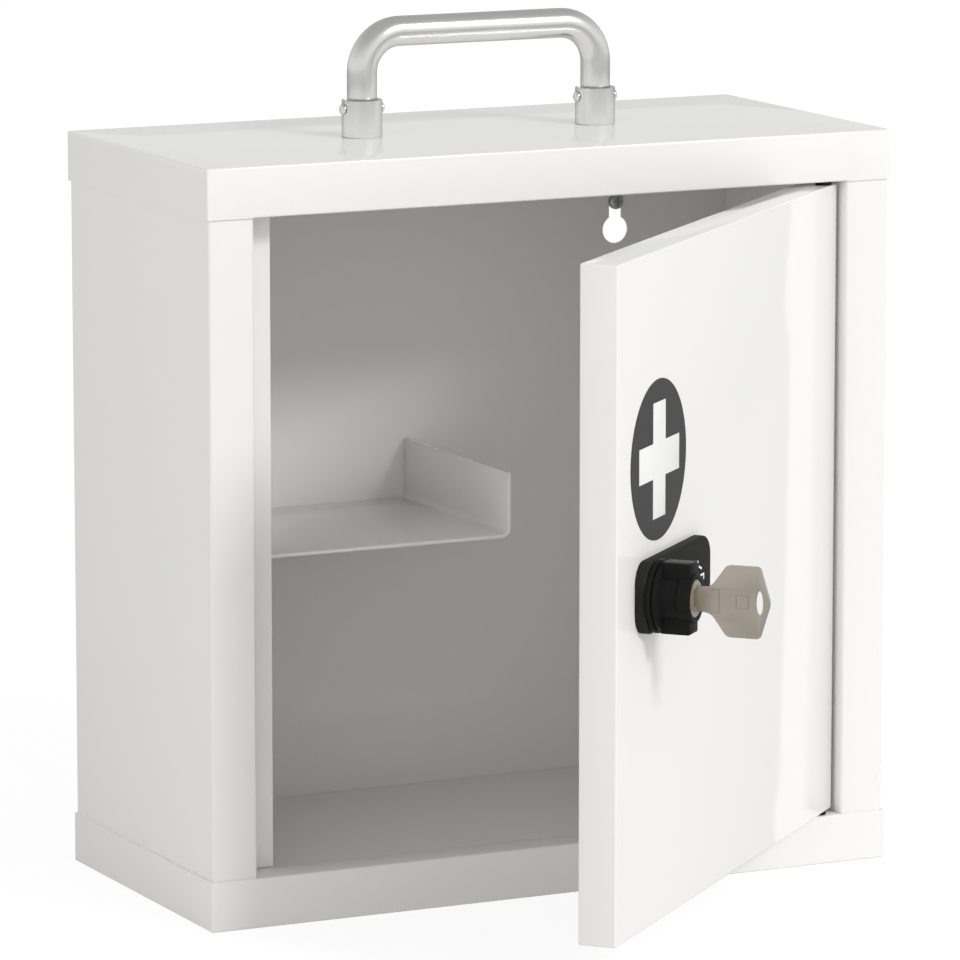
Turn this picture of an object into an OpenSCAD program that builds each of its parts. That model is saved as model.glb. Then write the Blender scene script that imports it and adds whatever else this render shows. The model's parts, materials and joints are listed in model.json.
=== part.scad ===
// Lockable wall cabinet in folded steel sheet, with a pivoted door, a wing-knob
// cylinder lock and a folding carrying handle. Millimetres. The origin is the
// centre of the underside, +Z is up and the door is at -Y.

/* [Cabinet] */
// Overall width over the caps
body_w = 300; // [240:1:420]
// Overall depth over the caps
body_d = 140; // [120:1:220]
// Overall height over the caps
body_h = 300; // [260:1:450]
// Thickness of the steel sheet
sheet_t = 0.8; // [0.6:0.1:1.2]
// Radius of the sheet's bends at the middle of its thickness
bend_r = 1; // [0.8:0.1:2]

/* [Caps] */
// Height of the top and bottom caps
cap_h = 20; // [16:1:30]

/* [Front frame] */
// Width of the upright beside the door, over the cap's skirt
jamb_w = 20; // [16:1:30]
// Width of the strip that the door closes against
stop_w = 13.8; // [12:0.2:18]
// Width of the side panels' rear flanges
rear_flange_w = 12; // [8:1:16]

/* [Floor] */
// How far the floor lies below the sill
floor_drop = 2; // [1:0.5:4]

/* [Shelf] */
// Height of the shelf's upper face above the base
shelf_z = 140; // [100:1:180]
// Width of the shelf from the left side panel
shelf_w = 148; // [100:1:180]
// Depth of the shelf from the back panel
shelf_d = 97.5; // [60:0.5:110]
// Thickness of the shelf's sheet
shelf_t = 1.5; // [1:0.1:2]
// Height of the shelf's turned-up ends over its underside
shelf_flange_h = 26.5; // [15:0.5:40]
// Outer radius of the shelf's bends
shelf_bend_r = 4; // [3:0.5:6]

/* [Door] */
// Gap between the door and its frame
door_gap = 1.5; // [1.2:0.1:2.5]
// Thickness of the door tray
door_t = 15; // [12:0.5:18]
// Width of the lip turned in at the back of the door
door_lip = 3.5; // [2.5:0.5:4]
// Gap between the closed door and the stop strip
stop_gap = 0.3; // [0.2:0.1:1]
// Angle at which the door stands open
door_angle = 42.8; // [0:0.1:110]
// Distance of the pivot from the door's hinge edge
pivot_inset = 7; // [6:0.1:10]
// Distance of the pivot behind the door's outer face
pivot_back = 3.5; // [3.5:0.1:4]

/* [Hinges] */
// Diameter of the pivot pins
hinge_pin_d = 3.5; // [3:0.1:3.6]
// Length of a pivot pin beyond its cap
hinge_pin_len = 8; // [5:0.5:10]
// Diameter of the pivot pin's head
hinge_head_d = 5.4; // [4.5:0.1:5.6]
// Thickness of the pivot pin's head
hinge_head_t = 1.2; // [0.8:0.1:1.6]
// Outer diameter of the bush
bush_d = 5.2; // [4.8:0.1:5.4]
// Length of the bush inside the door
bush_len = 8; // [6:0.5:12]
// Diameter of the bush's flange
bush_flange_d = 6.6; // [6:0.1:6.8]
// Running clearance of every turning fit, on the radius
run_gap = 0.05; // [0.02:0.01:0.1]
// Clearance between faces that move past each other
face_gap = 0.3; // [0.2:0.05:0.5]

/* [Keyholes] */
// Distance between the two keyholes
keyhole_pitch = 192; // [120:1:240]
// Distance of the keyholes' round part below the top
keyhole_drop = 54; // [40:1:80]
// Diameter of the keyholes' round part
keyhole_d = 11.5; // [9:0.1:14]
// Width of the keyholes' slot
keyhole_slot_w = 5.6; // [4.6:0.1:6.5]
// Rise of the slot's round end above the round part
keyhole_rise = 11; // [9:0.5:16]

/* [Wall screws] */
// Diameter of the wall screws' thread
wall_screw_d = 4; // [3.6:0.1:4.5]
// Diameter of the wall screws' neck inside the keyhole
wall_neck_d = 3.4; // [3:0.1:3.5]
// Diameter of the wall screws' head
wall_head_d = 6.6; // [6:0.1:8.5]
// Height of the wall screws' head
wall_head_h = 2.6; // [2:0.1:3.5]
// Length of the wall screws' thread, from the cabinet's rear
wall_thread_len = 12; // [10:1:40]
// Length of the wall screws' point
wall_point_len = 3; // [2:0.5:5]

/* [Handle] */
// Distance between the handle's legs
handle_span = 104; // [80:1:160]
// Height of the handle's bar above the top, at the bar's middle
handle_rise = 41.5; // [36:0.5:60]
// Diameter of the handle's tube
tube_d = 12; // [10:0.5:12]
// Wall of the handle's tube
tube_wall = 1; // [0.8:0.1:2]
// Radius of the handle's bends at the tube's middle
tube_bend_r = 16; // [14:0.5:24]
// Length of tube below the pivot
tube_tail = 2.6; // [2.2:0.1:2.8]
// Outer diameter of the ferrules
ferrule_d = 16.2; // [16:0.2:19]
// Height of the ferrules
ferrule_h = 15; // [15:0.5:20]
// Wall of the ferrules
ferrule_wall = 1.2; // [1:0.1:1.3]
// Height of the handle's pivot above the top
handle_pivot_z = 11.3; // [11:0.1:12]
// Diameter of the handle's pivot pins
handle_pin_d = 3; // [2.5:0.1:3.2]
// Diameter of the handle pins' domed heads
handle_head_d = 4.4; // [4:0.1:5]
// Height of the handle pins' domed heads
handle_head_h = 1.5; // [1:0.1:2]
// Diameter of the screws that hold the ferrules
ferrule_screw_d = 4; // [3:0.5:5]
// Diameter of the ferrule screws' heads
ferrule_head_d = 8; // [6:0.5:9]
// Height of the ferrule screws' heads
ferrule_head_h = 2.6; // [2:0.1:3.5]
// Diameter of the washers under those heads
ferrule_washer_d = 10; // [9:0.5:14]
// Thickness of the washers under those heads
washer_t = 1; // [0.5:0.1:1.5]

/* [Emblem] */
// Diameter of the round emblem
emblem_d = 61; // [40:1:80]
// Distance of the emblem's middle from the door's free edge
emblem_inset = 44.7; // [42:0.1:120]
// Height of the emblem's middle above the door's middle
emblem_rise = 49.5; // [46:0.1:80]
// Thickness of the emblem's disc
emblem_t = 0.3; // [0.2:0.1:1]
// Length of the cross's arms, end to end
cross_len = 44; // [25:1:48]
// Width of the cross's arms
cross_bar = 13.5; // [8:0.5:18]
// Thickness of the cross
cross_t = 0.2; // [0.1:0.1:0.5]

/* [Lock] */
// Distance of the lock's axis from the door's free edge
lock_inset = 32; // [30:0.5:35]
// Height of the lock's axis above the door's middle
lock_rise = 0; // [-40:1:2]
// Length of the escutcheon plate
plate_len = 74.2; // [60:0.2:90]
// Height of the escutcheon plate
plate_h = 27.6; // [26:0.2:36]
// Thickness of the escutcheon plate
plate_t = 4.2; // [3.5:0.1:6]
// Distance of the plate's near end from the lock's axis
plate_end = 12.7; // [11:0.1:14]
// Radius of the plate's corners
plate_corner_r = 8.5; // [4:0.5:12]
// Diameter of the ring that the knob turns on
ring_d = 28; // [26:0.5:32]
// Thickness of the ring that the knob turns on
ring_t = 2; // [1.8:0.1:3]
// Diameter of the lock's barrel through the door
barrel_d = 18; // [14:0.5:19]
// Diameter of the barrel's flange under the ring
barrel_flange_d = 24; // [21:0.5:24.5]
// Thickness of the barrel's flange
barrel_flange_t = 1; // [0.8:0.1:1.2]
// Width of the nut across its flats
nut_af = 24; // [22:0.5:27]
// Thickness of the nut
nut_t = 4; // [3:0.5:6]
// Diameter of the knob's base
knob_base_d = 26; // [24:0.5:28]
// Thickness of the knob's base
knob_base_t = 1.7; // [1.5:0.1:3]
// Height of the knob's wing
wing_h = 27; // [22:0.5:30]
// Thickness of the knob's wing
wing_t = 9; // [7:0.5:12]
// Diameter of the knob's round body
knob_d = 17.4; // [17:0.1:18]
// Diameter of the ring at the knob's mouth
knob_mouth_d = 18.6; // [18.2:0.1:20]
// Height of the ring at the knob's mouth
knob_mouth_h = 5.5; // [3:0.5:8]
// Distance from the door's face to the knob's mouth
knob_reach = 20; // [19:0.5:24]
// How far the wing stands short of the knob's mouth
wing_short = 1; // [0.5:0.1:3]
// Diameter of the key cylinder's face
plug_d = 14.6; // [13:0.1:14.8]
// How far the key cylinder's face lies inside the knob's mouth
plug_sink = 0.2; // [0.1:0.1:1]
// Diameter of the spindle
spindle_d = 10; // [9:0.1:11]
// Side of the spindle's square end
spindle_sq = 7; // [6:0.1:7]
// Diameter of the key cylinder's shank inside the spindle
plug_shank_d = 7.1; // [7:0.1:7.2]
// Length of the cam from the lock's axis
cam_len = 28; // [26:0.5:31]
// Width of the cam
cam_w = 14; // [12:0.5:15]
// Thickness of the cam
cam_t = 2; // [1.5:0.1:3]

// Number of wafers in the key cylinder
wafer_count = 4; // [2:1:4]
// Thickness of a wafer
wafer_t = 0.6; // [0.4:0.1:1]
// Distance from one wafer to the next
wafer_pitch = 2; // [1.4:0.1:2.2]
// Width of a wafer
wafer_w = 5; // [4:0.1:6]
// Height of a wafer
wafer_h = 10.6; // [9:0.1:11]

/* [Key] */
// Thickness of the key
key_t = 1.6; // [1.2:0.1:1.8]
// Height of the key's blade
key_blade_h = 6; // [5:0.1:6]
// Length of the key's blade inside the cylinder
key_blade_len = 20; // [16:0.5:22]
// Height of the key's shank
key_shank_h = 9.6; // [8:0.2:12]
// Length of the key outside the cylinder
key_out_len = 29.4; // [26:0.2:36]
// Height of the key's bow
key_bow_h = 27.3; // [22:0.5:32]
// Length of the hole in the key's bow
key_hole_len = 9; // [5:0.5:12]
// Width of the hole in the key's bow
key_hole_w = 2.8; // [2:0.1:4]

/* [Hidden] */
$fn = 64;
seat = 0.1;           // clearance of a sheet edge beside another sheet
through = 1;          // how far a cutting shape runs past a face

// planes of the cabinet
skin_x = body_w / 2 - sheet_t;          // outer face of the side panels
skin_y = body_d / 2 - sheet_t;          // outer face of the front frame and the rear flanges
jamb_x = body_w / 2 - jamb_w;           // edge of the door opening
back_y = skin_y - 2 * sheet_t;          // inner face of the back panel
stop_y = -skin_y + door_t + stop_gap;   // front face of the stop strip
sill_y = stop_y - seat;                 // back of the sill
floor_z = cap_h - floor_drop;           // upper face of the floor
top_z = body_h - sheet_t;               // underside of the top plate
return_y = stop_y + sheet_t;            // back edge of the jambs' returns
return_end_y = return_y - sheet_t - 2 * bend_r;  // where the return's turned end begins

// planes of the door
door_x = jamb_x - door_gap;             // half the door's width
door_z0 = cap_h + door_gap;             // lower edge of the door
door_z1 = body_h - cap_h - door_gap;    // upper edge of the door
door_mid_z = body_h / 2;
pivot_x = door_x - pivot_inset;
pivot_y = -skin_y + pivot_back;
lock_x = -door_x + lock_inset;
lock_z = door_mid_z + lock_rise;
emblem_x = -door_x + emblem_inset;
emblem_z = door_mid_z + emblem_rise;

// stations along the lock's axis, outwards from the door's face
ring_top = plate_t + ring_t;
knob_z0 = ring_top + face_gap;
web_t = 1.5;                            // floor of the knob's bore
spindle_head_t = 1.5;
spindle_head_z = knob_z0 + web_t;
spindle_top = spindle_head_z + spindle_head_t;
plug_z0 = spindle_top + face_gap;
plug_z1 = knob_reach - plug_sink;
barrel_end = -door_t + 1;               // inner end of the barrel
cam_z1 = -(door_t + 1.6);               // front face of the cam
cam_z0 = cam_z1 - cam_t;
cam_shoulder = 1;                       // how far the cam's boss stands out beside its arm
plug_tip = -6;                          // inner end of the cylinder's shank
cam_screw_d = 4;
cam_head_d = 7.6;
cam_head_h = 2.4;
cam_washer_d = 11;
cam_washer_t = 0.8;
cam_screw_len = 10;
keyway_gap = 0.15;                      // clearance around the key's blade
wafer_gap = 0.1;                        // clearance of a wafer in its pocket
wafer_z0 = plug_z0 + 1.5;               // first wafer
key_gap = 0.3;                          // gap between the key's shoulder and the cylinder

// stations of the handle
pivot_z = body_h + handle_pivot_z;
bar_z = body_h + handle_rise;
ferrule_floor = 4.2;                    // solid foot of the ferrule
slot_z = handle_pivot_z - tube_d / 2 - face_gap;
keyhole_z = body_h - keyhole_drop;
screw_z = keyhole_z + keyhole_rise + keyhole_slot_w / 2 - wall_neck_d / 2 - face_gap;

paint = [0.93, 0.93, 0.92];
steel = [0.72, 0.72, 0.72];
black = [0.16, 0.16, 0.16];

// ---------- shared shapes ----------

// A block between two corners
module block(a, b) {
    translate(a) cube(b - a);
}

// A straight piece of sheet, seen along its width, between two points
module strip(a, b, t) {
    d = b - a;
    translate(a) rotate(atan2(d[1], d[0])) translate([0, -t / 2]) square([norm(d), t]);
}

// A quarter bend of sheet at a corner, between the unit directions in and out
module bend(corner, d_in, d_out, t, r) {
    turns_left = d_in[0] * d_out[1] - d_in[1] * d_out[0] > 0;
    first = turns_left ? -d_out : d_in;
    translate(corner + r * (d_out - d_in)) rotate(atan2(first[1], first[0])) intersection() {
        difference() {
            circle(r + t / 2);
            circle(r - t / 2);
        }
        square(2 * r + t);
    }
}

// Folded sheet seen along its bends: path runs through the middle of the sheet
module folded(path, t, r) {
    last = len(path) - 1;
    for (i = [0 : last - 1]) {
        d = (path[i + 1] - path[i]) / norm(path[i + 1] - path[i]);
        a = path[i] + (i > 0 ? r : 0) * d;
        b = path[i + 1] - (i < last - 1 ? r : 0) * d;
        strip(a, b, t);
        if (i > 0) {
            d_in = (path[i] - path[i - 1]) / norm(path[i] - path[i - 1]);
            bend(path[i], d_in, d, t, r);
        }
    }
}

// A rectangle with round corners, centred on x and y
module rounded(w, h, r) {
    square([w - 2 * r, h], center = true);
    square([w, h - 2 * r], center = true);
    for (x = [-1, 1], y = [-1, 1]) translate([x * (w / 2 - r), y * (h / 2 - r)]) circle(r);
}

// A hole with round ends along y, centred on x and y
module long_hole(w, h) {
    square([w, h - w], center = true);
    for (side = [-1, 1]) translate([0, side * (h - w) / 2]) circle(d = w);
}

// A ring or disc along +Z
module ring(d, bore, z0, z1) {
    translate([0, 0, z0]) difference() {
        cylinder(d = d, h = z1 - z0);
        if (bore > 0) translate([0, 0, -through]) cylinder(d = bore, h = z1 - z0 + 2 * through);
    }
}

// ---------- frames of the moving pieces ----------

// Places what is drawn on the closed door on the open door
module on_door() {
    translate([pivot_x, pivot_y, 0]) rotate([0, 0, door_angle])
        translate([-pivot_x, -pivot_y, 0]) children();
}

// Lock's frame: +Z outwards from the door's face, +Y up
module on_lock() {
    on_door() translate([lock_x, -skin_y, lock_z]) rotate([90, 0, 0]) children();
}

// A leg of the handle: the ferrule's foot is the origin, side is -1 or 1
module on_leg(side) {
    translate([side * handle_span / 2, 0, body_h]) children();
}

// ---------- cabinet ----------

// Side panel with its rear flange, front face and return, for the right side
module side_sheet() {
    mid = sheet_t / 2;
    translate([0, 0, sheet_t]) linear_extrude(body_h - 2 * sheet_t) folded([
        [skin_x - rear_flange_w, skin_y - mid],
        [skin_x - mid, skin_y - mid],
        [skin_x - mid, -skin_y + mid],
        [jamb_x + mid, -skin_y + mid],
        [jamb_x + mid, return_end_y]
    ], sheet_t, bend_r);
}

// End of a jamb's return: turned in as a stop, or bent back into the jamb
module return_end(reach) {
    mid = sheet_t / 2;
    z0 = cap_h + seat;
    translate([0, 0, z0]) linear_extrude(body_h - 2 * z0) folded([
        [jamb_x + mid, return_end_y],
        [jamb_x + mid, return_y - mid],
        [jamb_x + mid + reach, return_y - mid]
    ], sheet_t, bend_r);
}

module right_side_panel() {
    color(paint) {
        side_sheet();
        return_end(jamb_w / 3);
    }
}

module left_side_panel() {
    color(paint) mirror([1, 0, 0]) {
        side_sheet();
        return_end(-stop_w);
    }
}

// One keyhole through the back panel
module keyhole(x) {
    depth = sheet_t + 2 * through;
    translate([x, back_y + sheet_t + through, keyhole_z]) rotate([90, 0, 0]) {
        cylinder(d = keyhole_d, h = depth);
        translate([0, keyhole_rise, 0]) cylinder(d = keyhole_slot_w, h = depth);
        translate([-keyhole_slot_w / 2, 0, 0]) cube([keyhole_slot_w, keyhole_rise, depth]);
    }
}

module back_panel() {
    edge = skin_x - sheet_t / 2 - bend_r;       // clear of the side panels' rear bends
    color(paint) difference() {
        block([-edge, back_y, sheet_t], [edge, back_y + sheet_t, top_z]);
        for (side = [-1, 1]) keyhole(side * keyhole_pitch / 2);
    }
}

// A cap drawn as the bottom one: tray, sill folded back from its front skirt, and the sill's hem
module cap() {
    w = body_w / 2;
    d = body_d / 2;
    sill_x = jamb_x - seat;
    difference() {
        union() {
            difference() {
                block([-w, -d, 0], [w, d, cap_h]);
                block([-skin_x, -skin_y, sheet_t], [skin_x, skin_y, cap_h + through]);
            }
            block([-sill_x, -skin_y - sheet_t / 2, cap_h - sheet_t], [sill_x, sill_y, cap_h]);
            block([-sill_x, sill_y - sheet_t, floor_z - sheet_t], [sill_x, sill_y, cap_h]);
        }
        translate([pivot_x, pivot_y, sheet_t + through]) cylinder(d = hinge_pin_d, h = cap_h);
    }
}

module bottom_cap() {
    color(paint) cap();
}

module top_cap() {
    color(paint) difference() {
        translate([0, 0, body_h]) mirror([0, 0, 1]) cap();
        for (side = [-1, 1]) on_leg(side)
            translate([0, 0, -cap_h]) cylinder(d = ferrule_screw_d, h = 2 * cap_h);
    }
}

// Floor: an upturned tray that stands in the bottom cap behind the sill
module floor_panel() {
    x = skin_x - sheet_t - seat;
    y0 = return_y + seat;
    y1 = back_y - seat;
    color(paint) difference() {
        block([-x, y0, sheet_t], [x, y1, floor_z]);
        block([-x + sheet_t, y0 + sheet_t, 0], [x - sheet_t, y1 - sheet_t, floor_z - sheet_t]);
    }
}

// Shelf: both ends are turned up, and the left end is welded to the side panel
module shelf() {
    x0 = -skin_x + sheet_t + shelf_t / 2;
    x1 = -skin_x + sheet_t + shelf_w - shelf_t / 2;
    z0 = shelf_z - shelf_t / 2;
    z1 = shelf_z - shelf_t + shelf_flange_h;
    color(paint) translate([0, back_y, 0]) rotate([90, 0, 0]) linear_extrude(shelf_d)
        folded([[x0, z1], [x0, z0], [x1, z0], [x1, z1]], shelf_t, shelf_bend_r - shelf_t / 2);
}

// Pivot pin drawn as the bottom one: head under the sill, shank up into the door
module hinge_pin() {
    head_z = cap_h - sheet_t - hinge_head_t;
    color(steel) translate([pivot_x, pivot_y, 0]) {
        translate([0, 0, head_z]) cylinder(d = hinge_head_d, h = hinge_head_t);
        translate([0, 0, head_z]) cylinder(d = hinge_pin_d, h = hinge_head_t + sheet_t + hinge_pin_len);
    }
}

module hinge_pin_bottom() {
    hinge_pin();
}

module hinge_pin_top() {
    translate([0, 0, body_h]) mirror([0, 0, 1]) hinge_pin();
}

module wall_screws() {
    tip_d = 0.6;
    edge = 0.8;                         // bevel around the head
    thread_z = body_d / 2 - back_y;     // the thread begins where the wall does
    color(steel) for (side = [-1, 1])
        translate([side * keyhole_pitch / 2, back_y, screw_z]) rotate([-90, 0, 0]) {
            translate([0, 0, -wall_head_h])
                cylinder(d1 = wall_head_d - 2 * edge, d2 = wall_head_d, h = edge);
            translate([0, 0, edge - wall_head_h]) cylinder(d = wall_head_d, h = wall_head_h - edge);
            cylinder(d = wall_neck_d, h = thread_z);
            translate([0, 0, thread_z]) cylinder(d = wall_screw_d, h = wall_thread_len);
            translate([0, 0, thread_z + wall_thread_len])
                cylinder(d1 = wall_screw_d, d2 = tip_d, h = wall_point_len);
        }
}

// ---------- handle ----------

// Ferrule: cup with a solid foot, a slot at the rear for the folding tube and the pin's holes
module ferrule(side) {
    bore = ferrule_d - 2 * ferrule_wall;
    slot_w = tube_d + 2 * face_gap;
    color(steel) on_leg(side) difference() {
        cylinder(d = ferrule_d, h = ferrule_h);
        translate([0, 0, ferrule_floor]) cylinder(d = bore, h = ferrule_h);
        block([-slot_w / 2, 0, slot_z], [slot_w / 2, ferrule_d, ferrule_h + through]);
        translate([-ferrule_d, 0, handle_pivot_z]) rotate([0, 90, 0])
            cylinder(d = handle_pin_d, h = 2 * ferrule_d);
        translate([0, 0, -through]) cylinder(d = ferrule_screw_d, h = ferrule_floor + 2 * through);
    }
}

module handle_ferrule_left() {
    ferrule(-1);
}

module handle_ferrule_right() {
    ferrule(1);
}

// Pin across a ferrule, with a domed head at each end
module handle_pin(side) {
    head_sphere_r = (pow(handle_head_d / 2, 2) + pow(handle_head_h, 2)) / (2 * handle_head_h);
    half = ferrule_d / 2;
    color(steel) on_leg(side) translate([0, 0, handle_pivot_z]) rotate([0, 90, 0]) {
        translate([0, 0, -half]) cylinder(d = handle_pin_d, h = 2 * half);
        for (end = [-1, 1]) intersection() {
            translate([0, 0, end * (half + handle_head_h - head_sphere_r)]) sphere(head_sphere_r);
            translate([0, 0, end > 0 ? half : -half - 2 * handle_head_h])
                cylinder(d = handle_head_d + through, h = 2 * handle_head_h);
        }
    }
}

module handle_pin_left() {
    handle_pin(-1);
}

module handle_pin_right() {
    handle_pin(1);
}

module handle_screws() {
    head_z = -sheet_t - washer_t;
    color(steel) for (side = [-1, 1]) on_leg(side) translate([0, 0, head_z]) {
        translate([0, 0, -ferrule_head_h]) cylinder(d = ferrule_head_d, h = ferrule_head_h);
        cylinder(d = ferrule_screw_d, h = ferrule_floor - head_z);
    }
}

module handle_washers() {
    color(steel) for (side = [-1, 1]) on_leg(side)
        ring(ferrule_washer_d, ferrule_screw_d, -sheet_t - washer_t, -sheet_t);
}

// Arch of the handle as a solid rod of diameter d, with legs that start at z0
module arch(d, z0) {
    x = handle_span / 2;
    corner_z = bar_z - tube_bend_r;
    for (side = [-1, 1]) {
        translate([side * x, 0, z0]) cylinder(d = d, h = corner_z - z0);
        translate([side * (x - tube_bend_r), 0, corner_z]) rotate([90, side > 0 ? 0 : -90, 0])
            rotate_extrude(angle = 90) translate([tube_bend_r, 0]) circle(d = d);
    }
    translate([-x + tube_bend_r, 0, bar_z]) rotate([0, 90, 0]) cylinder(d = d, h = 2 * (x - tube_bend_r));
}

module handle_tube() {
    z0 = pivot_z - tube_tail;
    color(steel) difference() {
        arch(tube_d, z0);
        arch(tube_d - 2 * tube_wall, z0 - through);
        translate([-handle_span, 0, pivot_z]) rotate([0, 90, 0])
            cylinder(d = handle_pin_d + 2 * run_gap, h = 2 * handle_span);
    }
}

// ---------- door ----------

// Door tray: outer skin, four edges and a lip turned in all round at the back
module door_pan() {
    back = -skin_y + door_t;
    inner_x = door_x - sheet_t;
    hole_len = sheet_t + 2 * through;
    color(paint) difference() {
        on_door() difference() {
            block([-door_x, -skin_y, door_z0], [door_x, back, door_z1]);
            block([-inner_x, -skin_y + sheet_t, door_z0 + sheet_t],
                  [inner_x, back - sheet_t, door_z1 - sheet_t]);
            block([-door_x + door_lip, back - 2 * sheet_t, door_z0 + door_lip],
                  [door_x - door_lip, back + through, door_z1 - door_lip]);
            for (z = [door_z0, door_z1 - sheet_t])
                translate([pivot_x, pivot_y, z - through]) cylinder(d = bush_d, h = hole_len);
        }
        on_lock() translate([0, 0, -sheet_t - through]) cylinder(d = barrel_d, h = hole_len);
    }
}

// Bush drawn as the bottom one: flange in the gap under the door, sleeve up into the door
module hinge_bush() {
    color(black) on_door() translate([pivot_x, pivot_y, 0]) difference() {
        union() {
            translate([0, 0, cap_h + face_gap]) cylinder(d = bush_flange_d, h = door_gap - face_gap);
            translate([0, 0, door_z0]) cylinder(d = bush_d, h = bush_len);
        }
        translate([0, 0, cap_h]) cylinder(d = hinge_pin_d + 2 * run_gap, h = door_gap + bush_len + through);
    }
}

module hinge_bush_bottom() {
    hinge_bush();
}

module hinge_bush_top() {
    translate([0, 0, body_h]) mirror([0, 0, 1]) hinge_bush();
}

// Emblem's frame: +Z outwards from the door's face, +Y up
module on_emblem() {
    on_door() translate([emblem_x, -skin_y, emblem_z]) rotate([90, 0, 0]) children();
}

module emblem_disc() {
    color([0.33, 0.33, 0.33]) on_emblem() cylinder(d = emblem_d, h = emblem_t);
}

module emblem_cross() {
    color("white") on_emblem() translate([0, 0, emblem_t]) linear_extrude(cross_t) {
        square([cross_len, cross_bar], center = true);
        square([cross_bar, cross_len], center = true);
    }
}

// ---------- lock ----------

module lock_plate() {
    color(black) on_lock() difference() {
        translate([plate_len / 2 - plate_end, 0, 0]) linear_extrude(plate_t)
            rounded(plate_len, plate_h, plate_corner_r);
        translate([0, 0, -through]) cylinder(d = barrel_d, h = plate_t + 2 * through);
    }
}

// Printed marks near the plate's far end: a dot and two strokes on an arc about the lock's axis
module lock_marks() {
    print_t = 0.15;
    dot_d = 1.4;
    dot_turn = 5;
    stroke_w = 1;
    stroke_len = 3;
    stroke_turn = 5;    // from one stroke to the next
    arc_r = plate_len - plate_end - 11;
    color("white") on_lock() translate([0, 0, plate_t]) {
        rotate(dot_turn) translate([arc_r - stroke_len - 2 * stroke_w, 0, 0])
            cylinder(d = dot_d, h = print_t);
        for (side = [-1, 1]) rotate(side * stroke_turn / 2) translate([arc_r, 0, print_t / 2])
            cube([stroke_w, stroke_len, print_t], center = true);
    }
}

module lock_ring() {
    pocket_d = barrel_flange_d + 2 * seat;
    pocket_z = plate_t + barrel_flange_t;
    edge = 0.5;         // bevel around the top
    color(black) on_lock() difference() {
        union() {
            translate([0, 0, plate_t]) cylinder(d = ring_d, h = ring_t - edge);
            translate([0, 0, ring_top - edge]) cylinder(d1 = ring_d, d2 = ring_d - 2 * edge, h = edge);
        }
        translate([0, 0, plate_t - through]) cylinder(d = pocket_d, h = through + barrel_flange_t);
        translate([0, 0, pocket_z - through]) cylinder(d = barrel_d, h = 2 * ring_t);
    }
}

module lock_barrel() {
    bore = spindle_d + 2 * run_gap;
    color(steel) on_lock() difference() {
        union() {
            translate([0, 0, plate_t]) cylinder(d = barrel_flange_d, h = barrel_flange_t);
            translate([0, 0, barrel_end]) cylinder(d = barrel_d - 2 * run_gap, h = plate_t - barrel_end);
        }
        translate([0, 0, barrel_end - through]) cylinder(d = bore, h = door_t + 2 * ring_top);
    }
}

module lock_nut() {
    color(steel) on_lock() translate([0, 0, -sheet_t - nut_t]) difference() {
        cylinder(d = nut_af / cos(30), h = nut_t, $fn = 6);
        translate([0, 0, -through]) cylinder(d = barrel_d, h = nut_t + 2 * through);
    }
}

// Knob: base, round body with a thicker mouth, and the wing that is gripped
module knob() {
    color(black) on_lock() difference() {
        union() {
            translate([0, 0, knob_z0]) cylinder(d = knob_base_d, h = knob_base_t);
            translate([0, 0, knob_z0]) cylinder(d = knob_d, h = knob_reach - knob_z0);
            translate([0, 0, knob_reach - knob_mouth_h]) cylinder(d = knob_mouth_d, h = knob_mouth_h);
            intersection() {
                translate([0, 0, knob_z0]) cylinder(d = wing_h, h = knob_reach - wing_short - knob_z0);
                block([-wing_t / 2, -wing_h, knob_z0 + knob_base_t / 2], [wing_t / 2, wing_h, knob_reach]);
            }
        }
        translate([0, 0, spindle_head_z]) cylinder(d = plug_d + 2 * run_gap, h = knob_reach);
        cylinder(d = spindle_d, h = knob_reach);
    }
}

// Spindle: head in the knob, shank through the barrel, square end for the cam
module lock_spindle() {
    head_d = plug_d - 2 * face_gap;
    half_sq = spindle_sq / 2;
    bore = plug_shank_d + 2 * run_gap;
    color(steel) on_lock() difference() {
        union() {
            translate([0, 0, spindle_head_z]) cylinder(d = head_d, h = spindle_head_t);
            translate([0, 0, cam_z1]) cylinder(d = spindle_d, h = spindle_top - cam_z1);
            block([-half_sq, -half_sq, cam_z0], [half_sq, half_sq, cam_z1 + through]);
        }
        translate([0, 0, plug_tip - face_gap]) cylinder(d = bore, h = knob_reach - plug_tip);
        translate([0, 0, cam_z0 - cam_washer_t]) cylinder(d = cam_screw_d, h = cam_screw_len + face_gap);
    }
}

module spacer_washer() {
    color(steel) on_lock() ring(barrel_d - 1, spindle_d, cam_z1, barrel_end - face_gap);
}

// Cam: hangs down when unlocked, and turns towards the door's free edge to lock
module lock_cam() {
    end_y = -cam_len + cam_w / 2;
    color(steel) on_lock() translate([0, 0, cam_z0]) difference() {
        union() {
            cylinder(d = cam_w + 2 * cam_shoulder, h = cam_t);
            translate([-cam_w / 2, end_y, 0]) cube([cam_w, -end_y, cam_t]);
            translate([0, end_y, 0]) cylinder(d = cam_w, h = cam_t);
        }
        translate([0, 0, cam_t / 2]) cube([spindle_sq, spindle_sq, 2 * cam_t], center = true);
    }
}

module cam_washer() {
    color(steel) on_lock() ring(cam_washer_d, cam_screw_d, cam_z0 - cam_washer_t, cam_z0);
}

module cam_screw() {
    head_z = cam_z0 - cam_washer_t - cam_head_h;
    color(steel) on_lock() {
        translate([0, 0, head_z]) cylinder(d = cam_head_d, h = cam_head_h);
        translate([0, 0, head_z]) cylinder(d = cam_screw_d, h = cam_head_h + cam_screw_len);
    }
}

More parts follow.
